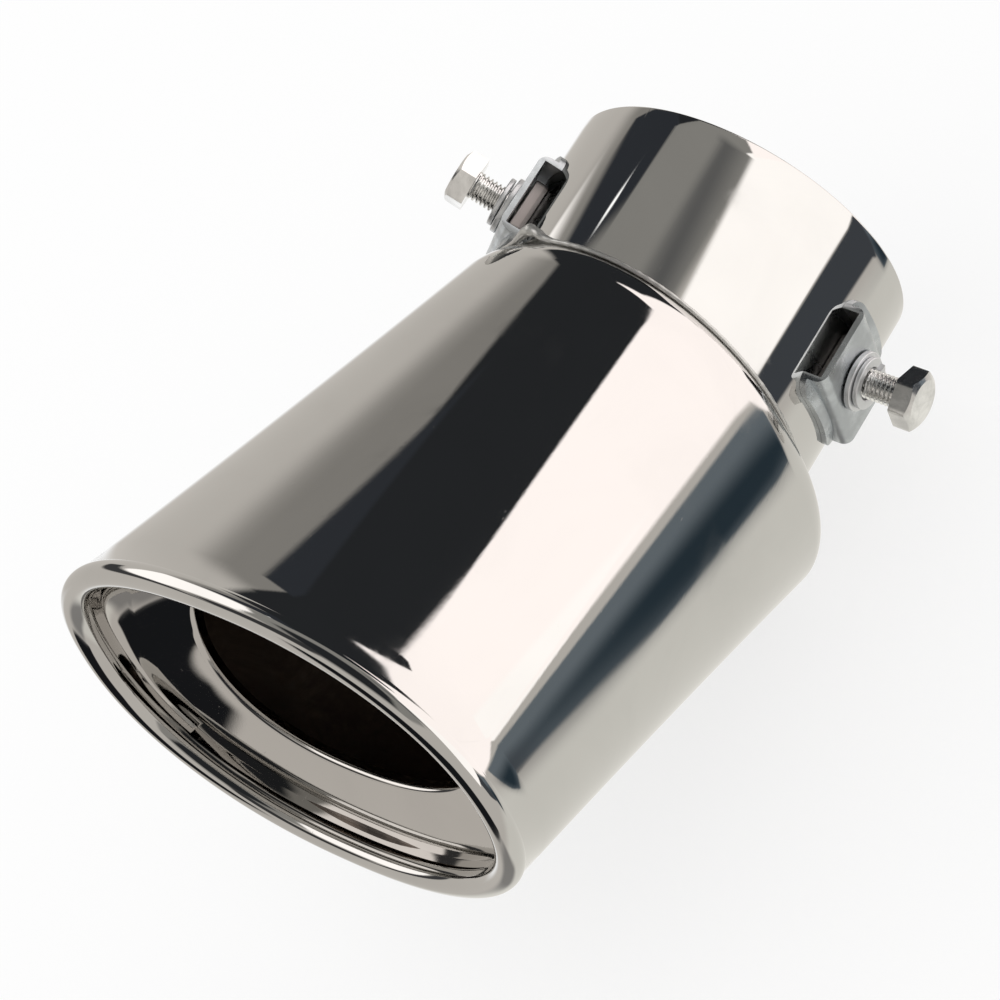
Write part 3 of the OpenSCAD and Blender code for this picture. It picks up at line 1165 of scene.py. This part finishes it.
@dataclass
class Washers:
    """The flat washer and the split lock washer of one clamp."""

    clamp: ClampLayout
    flat_od: float = 10.2
    lock_od: float = 8.8
    edge: float = 0.18
    split: float = 8.0
    spring_rise: float = 0.45
    around: int = 120
    corner_steps: int = 5

    def section(self, inner: float, outer: float, thick: float) -> Array:
        """Rounded rectangle, counter-clockwise from its inner lower corner.

        Args:
            inner: radius of the hole.
            outer: outer radius.
            thick: height.

        Returns:
            The points as (radius, height).
        """
        q = np.linspace(180, 270, self.corner_steps)
        corners = [(inner, 0.0, 0), (outer, 0.0, 90), (outer, thick, 180), (inner, thick, 270)]
        points = []
        for r, x, turn in corners:
            cr = r + (self.edge if r == inner else -self.edge)
            cx = x + (self.edge if x == 0.0 else -self.edge)
            quarter = [cr + self.edge * cosd(q + turn), cx + self.edge * sind(q + turn)]
            points.append(np.stack(quarter, axis=-1))
        return np.concatenate(points)

    def build(self) -> list[bpy.types.Object]:
        """Sweep both sections round the bolt, the lock washer's along a helix with two cut ends.

        Returns:
            The flat washer and the lock washer.
        """
        clamp = self.clamp
        hole = clamp.bolt_d / 2 + clamp.hole_gap
        flat = self.section(hole, self.flat_od / 2, clamp.flat_t)
        turn = np.linspace(0, 360, self.around, endpoint=False)[:, None]
        ring = np.stack([clamp.flat_in + np.broadcast_to(flat[None, :, 1], (self.around, len(flat))),
                         flat[None, :, 0] * cosd(turn), flat[None, :, 0] * sind(turn)], axis=-1)
        skin = Skin()
        skin.grid(clamp.to_frame(ring), True, True)
        name = f"{clamp.side.value}_flat_washer"
        washer = skin.make(f"{name}_plated", [WASHER_ZINC.material()], 40.0)
        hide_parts(name)

        lock = self.section(hole, self.lock_od / 2, clamp.lock_t - self.spring_rise)
        turn = np.linspace(self.split, 360 - self.split, self.around)[:, None]
        rise = self.spring_rise * np.linspace(0, 1, self.around)[:, None]
        coil = np.stack([clamp.lock_in + rise + lock[None, :, 1],
                         lock[None, :, 0] * cosd(turn), lock[None, :, 0] * sind(turn)], axis=-1)
        skin = Skin()
        first = skin.grid(clamp.to_frame(coil), False, True)
        columns = len(lock)
        for row in (0, self.around - 1):
            ring_numbers = first + row * columns + np.arange(columns)
            ring_numbers = ring_numbers[::-1] if row == 0 else ring_numbers
            skin.fan(ring_numbers, clamp.to_frame(coil[row].mean(axis=0)))
        name = f"{clamp.side.value}_lock_washer"
        spring = skin.make(f"{name}_plated", [WASHER_ZINC.material()], 40.0)
        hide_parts(name)
        return [washer, spring]


@dataclass
class HexBolt:
    """The clamp bolt: a chamfered hexagon head and a shank cut with its thread."""

    clamp: ClampLayout
    flats: float = 9.0
    head_height: float = 3.6
    pitch: float = 0.8
    thread_depth: float = 0.42
    chamfer: float = 30.0
    face_inset: float = 0.6
    tip: float = 0.6
    corner_power: int = 60
    around: int = 96
    rows_per_turn: int = 12

    def hexagon(self, turn: Array) -> Array:
        """Radius of a hexagon with slightly round corners: a high power mean of three widths."""
        widths = [np.abs(cosd(turn - 60 * k - 30)) ** self.corner_power for k in range(3)]
        return self.flats / 2 / sum(widths) ** (1 / self.corner_power)

    def build(self) -> bpy.types.Object:
        """Build shank and head as one skin from the tip to the head's face.

        The thread's groove is a clipped cosine of the turns along the shank less the angle round
        it. The head's corners end on a cone that starts from the round face.

        Returns:
            The bolt.
        """
        clamp = self.clamp
        r = clamp.bolt_d / 2
        length = clamp.bolt_length
        turn = np.linspace(0, 360, self.around, endpoint=False)[:, None]
        rows = int(length / self.pitch * self.rows_per_turn)
        x = np.linspace(0, length, rows)[None, :]
        phase = 360 * (x / self.pitch) - turn
        groove = np.clip(0.5 - 0.75 * cosd(phase), 0.0, 1.0) * self.thread_depth
        fade = np.clip((length - x) / self.pitch, 0.0, 1.0)
        shank_r = np.minimum(r - groove * fade, r - self.tip + x)
        hexagon = self.hexagon(turn)
        face_r = self.flats / 2 - self.face_inset
        slope = np.tan(np.radians(self.chamfer))
        under = lerp(r, hexagon, np.array([0.15, 0.5, 0.93, 1.0])[None, :])
        side_r = np.repeat(hexagon, 4, axis=1)
        edge_x = self.head_height - (hexagon - face_r) * slope
        side_x = edge_x * np.array([0.03, 0.33, 0.66, 1.0])[None, :]
        cone_r = lerp(hexagon, face_r, np.array([0.25, 0.5, 0.75, 1.0])[None, :])
        cone_x = self.head_height - (cone_r - face_r) * slope
        face = face_r * np.array([0.96, 0.6, 0.25])[None, :]
        face_rows = np.broadcast_to(face, (self.around, 3))
        radius = np.concatenate([shank_r, under, side_r, cone_r, face_rows], axis=1)
        along = np.concatenate([np.broadcast_to(x, shank_r.shape) - length, np.zeros_like(under),
                                side_x, cone_x, np.full_like(face_rows, self.head_height)], axis=1)
        spin = turn + clamp.head_turn
        points = np.stack([clamp.head_in + along, radius * sind(spin), -radius * cosd(spin)], axis=-1)
        skin = Skin()
        first = skin.grid(clamp.to_frame(points), True, False)
        columns = points.shape[1]
        rings = np.arange(self.around) * columns + first
        tip_middle = np.array([clamp.head_in - length, 0.0, 0.0])
        face_middle = np.array([clamp.head_in + self.head_height, 0.0, 0.0])
        skin.fan(rings[::-1], clamp.to_frame(tip_middle))
        skin.fan(rings + columns - 1, clamp.to_frame(face_middle))
        name = f"{clamp.side.value}_hex_bolt"
        piece = skin.make(f"{name}_threaded", [BRIGHT_ZINC.material()], 28.0)
        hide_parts(name)
        return piece


# The studio


@dataclass(frozen=True)
class StudioCard:
    """A soft-edged light or dark card, as a convex patch of the sky that mirror metal reflects."""

    corners: tuple[tuple[float, float], ...]
    colour: tuple[float, float, float]
    softness: float = 1.5
    share: float = 1.0

    def edge_normals(self) -> list[Array]:
        """Normals of the planes through the eye and each edge, pointing into the card.

        Returns:
            One unit normal an edge.
        """
        ways = [unit_direction(*corner) for corner in self.corners]
        middle = sum(ways)
        normals = []
        for a, b in zip(ways, ways[1:] + ways[:1]):
            normal = np.cross(a, b)
            normal /= np.linalg.norm(normal)
            normals.append(normal if normal @ middle > 0 else -normal)
        return normals

    def mask(self, board: NodeBoard, way: bpy.types.NodeSocket) -> bpy.types.NodeSocket:
        """Share of the card seen in a direction, from 0 outside to its share inside.

        Args:
            board: the world's node board.
            way: the direction's socket.

        Returns:
            The share's socket.
        """
        soft = float(sind(self.softness))
        total: object = self.share
        for normal in self.edge_normals():
            dot = board.tree.nodes.new("ShaderNodeVectorMath")
            dot.operation = "DOT_PRODUCT"
            board.put(dot.inputs[0], way)
            board.put(dot.inputs[1], tuple(normal))
            inside = board.spread(dot.outputs["Value"], -soft, soft, 0.0, 1.0)
            total = board.maths("MULTIPLY", inside, total)
        return total


@dataclass
class Studio:
    """Floor, camera and the light round the object."""

    floor_z: float = -41.8
    floor_half: float = 6000.0
    floor_white: float = 0.72
    floor_turn_low: float = -0.78
    floor_turn_high: float = -0.6
    lens: float = 96.62
    sensor: float = 36.0
    clip: tuple[float, float] = (0.01, 50.0)
    camera_place: tuple[float, float, float] = (0.2974, -0.1869, 0.2994)
    camera_right: tuple[float, float, float] = (0.6939, 0.5139, -0.5044)
    camera_up: tuple[float, float, float] = (-0.2007, 0.8108, 0.5499)
    wall_grey: tuple[float, float, float] = (0.666, 0.632, 0.59)
    floor_grey: tuple[float, float, float] = (0.83, 0.81, 0.755)

    def cards(self) -> list[StudioCard]:
        """Cards from the back of the stack to its front, their corners as (azimuth, elevation).

        Returns:
            The cards. A strength over 1 is a softbox, which grey steel shows as white.
        """
        white, warm_white = (1.62, 1.56, 1.52), (1.62, 1.50, 1.46)
        overhead_grey, dark = (0.33, 0.32, 0.30), (0.026, 0.028, 0.031)
        return [
            StudioCard(((0, 46), (60, 46), (120, 46), (180, 46), (-120, 46), (-60, 46)),
                       overhead_grey, 3.0),
            StudioCard(((15, 38), (80, 60), (72, 65), (15, 50)), (0.13, 0.13, 0.13), 4.0),
            StudioCard(((0, 68), (60, 71), (120, 71), (180, 62), (-120, 55), (-60, 55)), dark, 3.0),
            StudioCard(((108, 22), (137, 16), (150, 20), (160, 30), (152, 50), (108, 50)),
                       (0.22, 0.21, 0.195), 8.0, 0.8),
            StudioCard(((0, -10.5), (50, -11.5), (50, 54), (0, 10)), white, 0.8),
            StudioCard(((45, -10), (85, -10), (112, 20), (100, 38), (45, 50)), warm_white, 0.8),
            StudioCard(((40, -9), (95, -9), (92, -36), (74, -36), (52, -24)), warm_white, 1.0),
            StudioCard(((88, -4), (89, 25), (104, 31.5), (120, 31.5), (133, 22), (136, 6), (120, -6)),
                       dark, 1.5),
            StudioCard(((73.5, 31.5), (73.5, 38), (84, 46), (110, 52), (110, 30)), dark, 0.7),
            StudioCard(((101.5, 20), (101.5, 50), (128, 55), (129.5, 34), (129.5, 20)), dark, 0.7),
            StudioCard(((118, 20), (120, 36), (129.5, 35), (133.5, 20)), dark, 0.8),
            StudioCard(((127, 34), (127, 55), (135, 57), (151.5, 45), (151.5, 31)),
                       (0.036, 0.040, 0.048), 0.9),
            StudioCard(((34, -12), (59, -29.5), (58, -33), (50, -46), (42.5, -48), (36, -38), (32, -24)),
                       (0.17, 0.20, 0.225), 0.9),
            StudioCard(((36, -26), (57, -37), (50, -47), (42.5, -49), (36, -40)),
                       (0.026, 0.042, 0.056), 5.0),
            StudioCard(((12, -12.5), (37, -12.5), (36, -39), (14, -26)), (0.065, 0.072, 0.083), 1.0),
            StudioCard(((146, -22), (-160, -22), (-160, -48), (146, -48)), (1.05, 1.05, 1.05), 6.0),
            StudioCard(((155, 24), (175, 20), (-155, 24), (-152, 45), (178, 56), (155, 50)), white, 1.5),
            StudioCard(((163, 4), (163, 13), (-150, 26), (-140, 20)), (0.06, 0.06, 0.062), 1.5),
            StudioCard(((-150, 28), (-140, 20), (-120, 40), (-118, 60), (-135, 62)),
                       (0.05, 0.05, 0.052), 2.0),
            StudioCard(((-72, -30), (-74, 8), (-95, 17), (-118, 20), (-127.5, 14), (-129, -28)),
                       (0.012, 0.013, 0.015), 2.0),
            StudioCard(((-82, -32), (-85, -66), (-150, -64), (-140, -38), (-120, -32)),
                       (0.30, 0.29, 0.28), 7.0),
            StudioCard(((140.5, 51.0), (142.6, 50.3), (142.9, 51.3), (140.8, 52.0)), (1.8, 1.8, 1.8), 0.4),
        ]

    def light_world(self) -> None:
        """Light the scene: white to the camera, even white to dull surfaces, cards to metal."""
        world = bpy.data.worlds.new("studio_world")
        bpy.context.scene.world = world
        world.use_nodes = True
        board = NodeBoard(world.node_tree)
        world.node_tree.nodes.clear()
        way = board.add("ShaderNodeTexCoord").outputs["Generated"]
        height = board.add("ShaderNodeSeparateXYZ", Vector=way).outputs["Z"]
        upright = board.spread(height, self.floor_turn_low, self.floor_turn_high, 0.0, 1.0)
        seen: object = board.blend(upright, rgba(self.floor_grey), rgba(self.wall_grey))
        for card in self.cards():
            seen = board.blend(card.mask(board, way), seen, rgba(card.colour))
        rays = board.add("ShaderNodeLightPath")
        cards = board.add("ShaderNodeBackground", Color=seen, Strength=1.0)
        plain = board.add("ShaderNodeBackground", Color=rgba((1.0, 1.0, 1.0)), Strength=1.0)
        mix = board.add("ShaderNodeMixShader", Fac=rays.outputs["Is Glossy Ray"])
        board.tree.links.new(plain.outputs[0], mix.inputs[1])
        board.tree.links.new(cards.outputs[0], mix.inputs[2])
        out = board.add("ShaderNodeOutputWorld")
        board.tree.links.new(mix.outputs[0], out.inputs["Surface"])
        world.cycles.sampling_method = "NONE"

    def lay_floor(self) -> bpy.types.Object:
        """Lay the plain pale floor, which metal sees through to the cards below.

        Returns:
            The floor, a stage piece on no body.
        """
        half, z = self.floor_half, self.floor_z
        skin = Skin()
        corners = [[-half, -half, z], [half, -half, z], [half, half, z], [-half, half, z]]
        first = skin.add_points(np.array(corners))
        skin.add_quads(np.arange(4)[None, :] + first)
        material = bpy.data.materials.new("pale_floor")
        material.use_nodes = True
        board = NodeBoard(material.node_tree)
        material.node_tree.nodes.clear()
        dull = board.add("ShaderNodeBsdfDiffuse", Color=rgba((0.97, 0.97, 0.97)))
        white = board.add("ShaderNodeEmission", Color=rgba((1.0, 1.0, 1.0)), Strength=1.0)
        clear = board.add("ShaderNodeBsdfTransparent")
        rays = board.add("ShaderNodeLightPath")
        lit = board.maths("MULTIPLY", rays.outputs["Is Camera Ray"], self.floor_white)
        seen = board.add("ShaderNodeMixShader", Fac=lit)
        board.tree.links.new(dull.outputs[0], seen.inputs[1])
        board.tree.links.new(white.outputs[0], seen.inputs[2])
        mix = board.add("ShaderNodeMixShader", Fac=rays.outputs["Is Glossy Ray"])
        board.tree.links.new(seen.outputs[0], mix.inputs[1])
        board.tree.links.new(clear.outputs[0], mix.inputs[2])
        out = board.add("ShaderNodeOutputMaterial")
        board.tree.links.new(mix.outputs[0], out.inputs["Surface"])
        floor = skin.make("studio_floor", [material])
        return floor

    def set_camera(self) -> bpy.types.Object:
        """Set the camera at the photograph's place and turn.

        Returns:
            The camera.
        """
        data = bpy.data.cameras.new("photo_camera")
        data.lens = self.lens
        data.sensor_width = self.sensor
        data.sensor_fit = "HORIZONTAL"
        data.clip_start, data.clip_end = self.clip
        camera = bpy.data.objects.new("photo_camera", data)
        right, up = np.array(self.camera_right), np.array(self.camera_up)
        right /= np.linalg.norm(right)
        up -= right * (up @ right)
        up /= np.linalg.norm(up)
        back = np.cross(right, up)
        pose = np.eye(4)
        pose[:3, 0], pose[:3, 1], pose[:3, 2], pose[:3, 3] = right, up, back, self.camera_place
        camera.matrix_world = Matrix(pose.tolist())
        bpy.context.scene.collection.objects.link(camera)
        bpy.context.scene.camera = camera
        return camera

    def build(self) -> None:
        """Set the camera, the light and the floor."""
        self.set_camera()
        self.light_world()
        self.lay_floor()
        bpy.context.scene.view_settings.view_transform = "Standard"


@dataclass
class Clamp:
    """One clamp with its bracket, nut, washers and bolt."""

    layout: ClampLayout

    def build(self) -> None:
        """Build the clamp's pieces and set each on the body that carries it."""
        bracket = Bracket(self.layout).build()
        nut = SquareNut(self.layout).build()
        for piece in [bracket, nut, *Washers(self.layout).build()]:
            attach(piece, TIP_BODY)
            LOG.info("built %s", piece.name)
        bolt = HexBolt(self.layout).build()
        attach(bolt, self.layout.body)
        LOG.info("built %s", bolt.name)


def main() -> None:
    """Build the studio, the tip's sheet metal and the clamps."""
    logging.basicConfig(level=logging.INFO)
    Studio().build()
    layout = TipLayout()
    for part in (OuterShell(layout), Funnel(layout), InletNeck(layout), NeckWeld(layout)):
        piece = part.build()
        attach(piece, TIP_BODY)
        LOG.info("built %s", piece.name)
    Clamp(ClampLayout(Side.RIGHT, CLAMP_ANGLE[Side.RIGHT], backed_off=5.8, head_turn=0.0)).build()
    Clamp(ClampLayout(Side.LEFT, CLAMP_ANGLE[Side.LEFT], backed_off=4.8, head_turn=50.0)).build()


if __name__ == "__main__":
    main()
